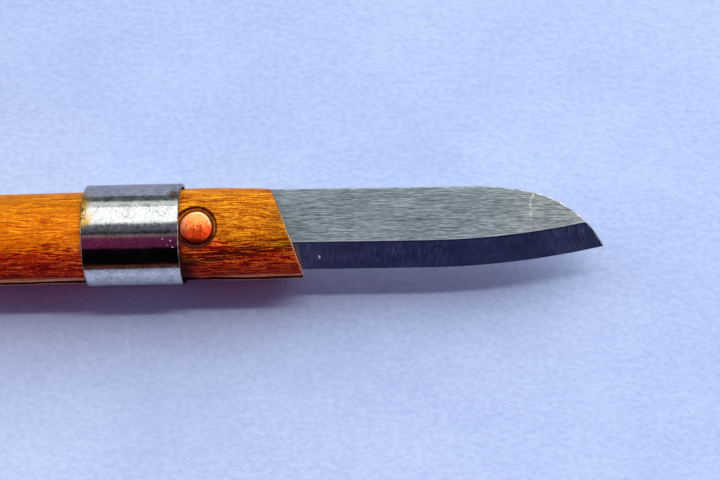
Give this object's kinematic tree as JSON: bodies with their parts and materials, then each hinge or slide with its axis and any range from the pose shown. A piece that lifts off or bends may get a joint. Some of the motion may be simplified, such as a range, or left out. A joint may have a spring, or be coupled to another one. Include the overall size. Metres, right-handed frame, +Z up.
{
  "type": "folding whittling knife",
  "caption": "Folding whittling knife: a round wooden handle sawn into a fork, a flat bevelled blade turning on a copper rivet, and a thin steel ring that slides along the handle.",
  "frame": {"origin": "on the table that the knife lies on, under the middle of the open knife's box", "axes": "+X along the handle to the tip of the open blade, +Y to the side of the blade's back, +Z up along the rivet"},
  "size_m": [0.1922, 0.0206, 0.0205],
  "materials": {
    "handle_wood": "oiled, close grain along the handle",
    "blade_steel": "satin flats brushed along the blade, polished bevels",
    "ring_steel": "bare drawn tube, lightly stained at one end",
    "copper": "hand-peened copper",
    "bush_brass": "plain drawn",
    "washer_bronze": "rolled sheet"
  },
  "bodies": {
    "handle_body": {"handle": "handle_wood", "pivot_rivet": "copper", "rivet_burr": "copper", "pivot_bush": "bush_brass", "near_tang_washer": "washer_bronze", "far_tang_washer": "washer_bronze"},
    "blade_body": {"blade": "blade_steel"},
    "ring_body": {"lock_ring": "ring_steel"}
  },
  "joints": [
    {"name": "blade_fold", "type": "hinge", "parent": "handle_body", "child": "blade_body", "pos_m": [0.0159, 0, 0.01025], "axis": [0, 0, -1], "range_deg": [0, 179.25]},
    {"name": "ring_slide", "type": "slide", "parent": "handle_body", "child": "ring_body", "axis": [-1, 0, 0], "range_m": [0, 0.0835]}
  ],
  "couplings": [
    {"joint": "ring_slide", "follows": "blade_fold", "m_per_rad": 0.02653}
  ]
}
